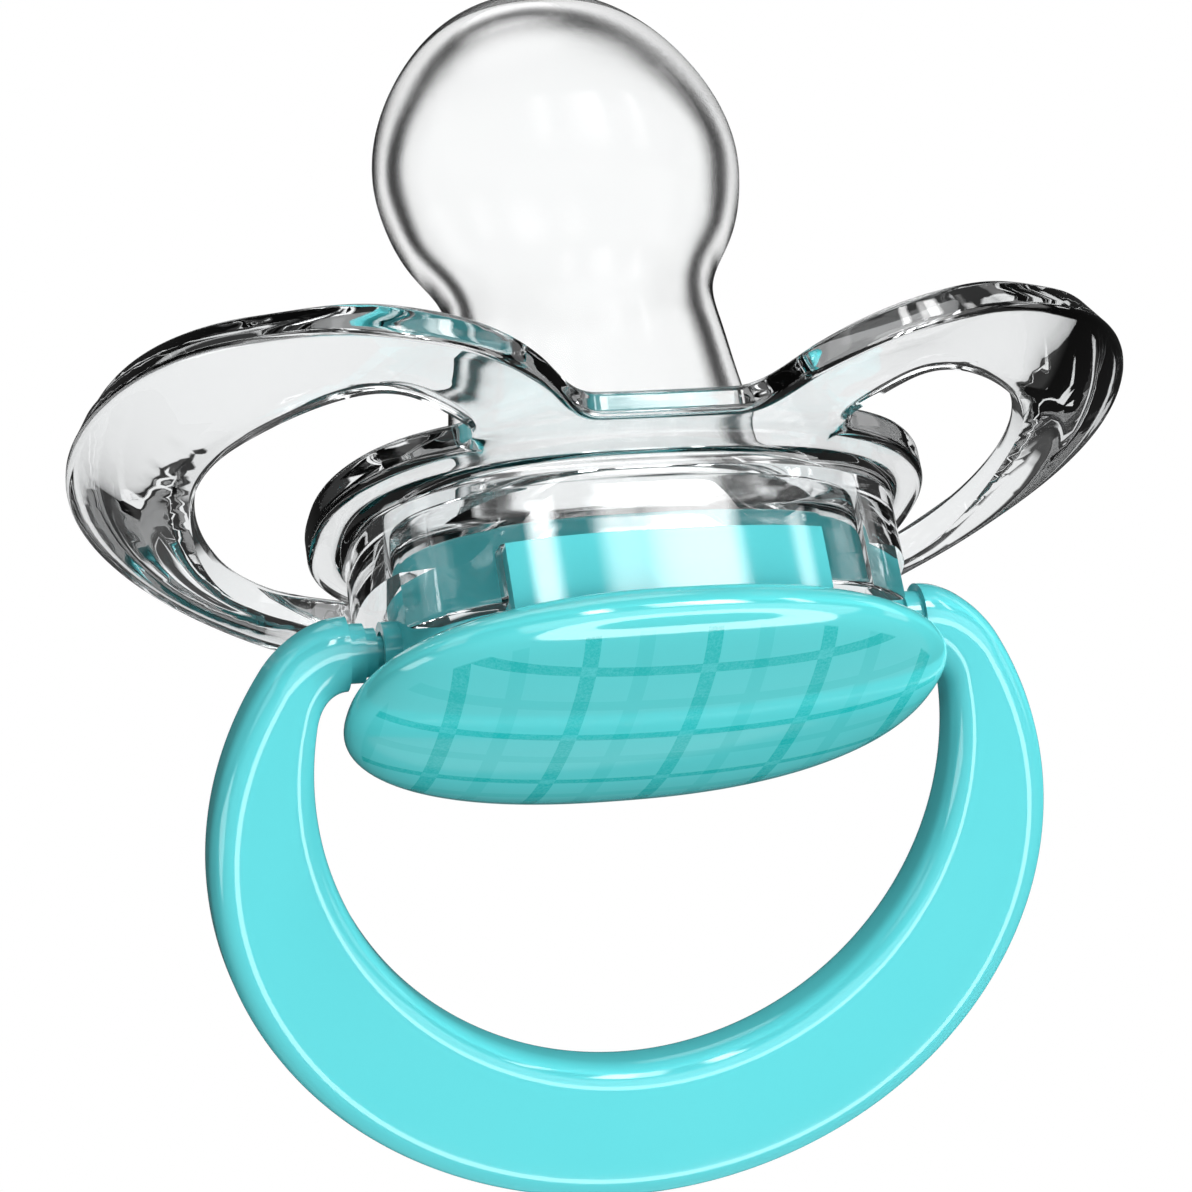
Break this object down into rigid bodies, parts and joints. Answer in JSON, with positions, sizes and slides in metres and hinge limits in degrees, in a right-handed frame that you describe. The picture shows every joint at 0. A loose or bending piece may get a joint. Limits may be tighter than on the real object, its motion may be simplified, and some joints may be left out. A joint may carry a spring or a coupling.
{
  "type": "pacifier",
  "caption": "Pacifier with a clear vented butterfly shield, a hollow soft teat, a patterned turquoise button and a swinging ring handle.",
  "frame": {"origin": "centre of the shield's mouth side, on the teat's axis", "axes": "+Z along the teat to its tip, X along the ring's hinge axis, -Y towards the side that the ring swings away from at rest"},
  "size_m": [0.052, 0.0355, 0.0577],
  "materials": {
    "clear_plastic": "clear, polished",
    "silicone": "clear soft silicone, matt inside",
    "turquoise_plastic": "glossy, solid colour",
    "tinted_plastic": "glossy, translucent",
    "patterned_sheet": "thin printed sheet with a check of darker lines"
  },
  "bodies": {
    "body": {"shield": "clear_plastic", "nipple": "silicone", "plug": "turquoise_plastic", "cap": "tinted_plastic", "inlay": "patterned_sheet"},
    "ring": {"ring": "turquoise_plastic"}
  },
  "joints": [
    {"name": "ring_hinge", "type": "hinge", "parent": "body", "child": "ring", "pos_m": [0, 0, -0.007], "axis": [1, 0, 0], "range_deg": [-138.5, 61.5]}
  ]
}
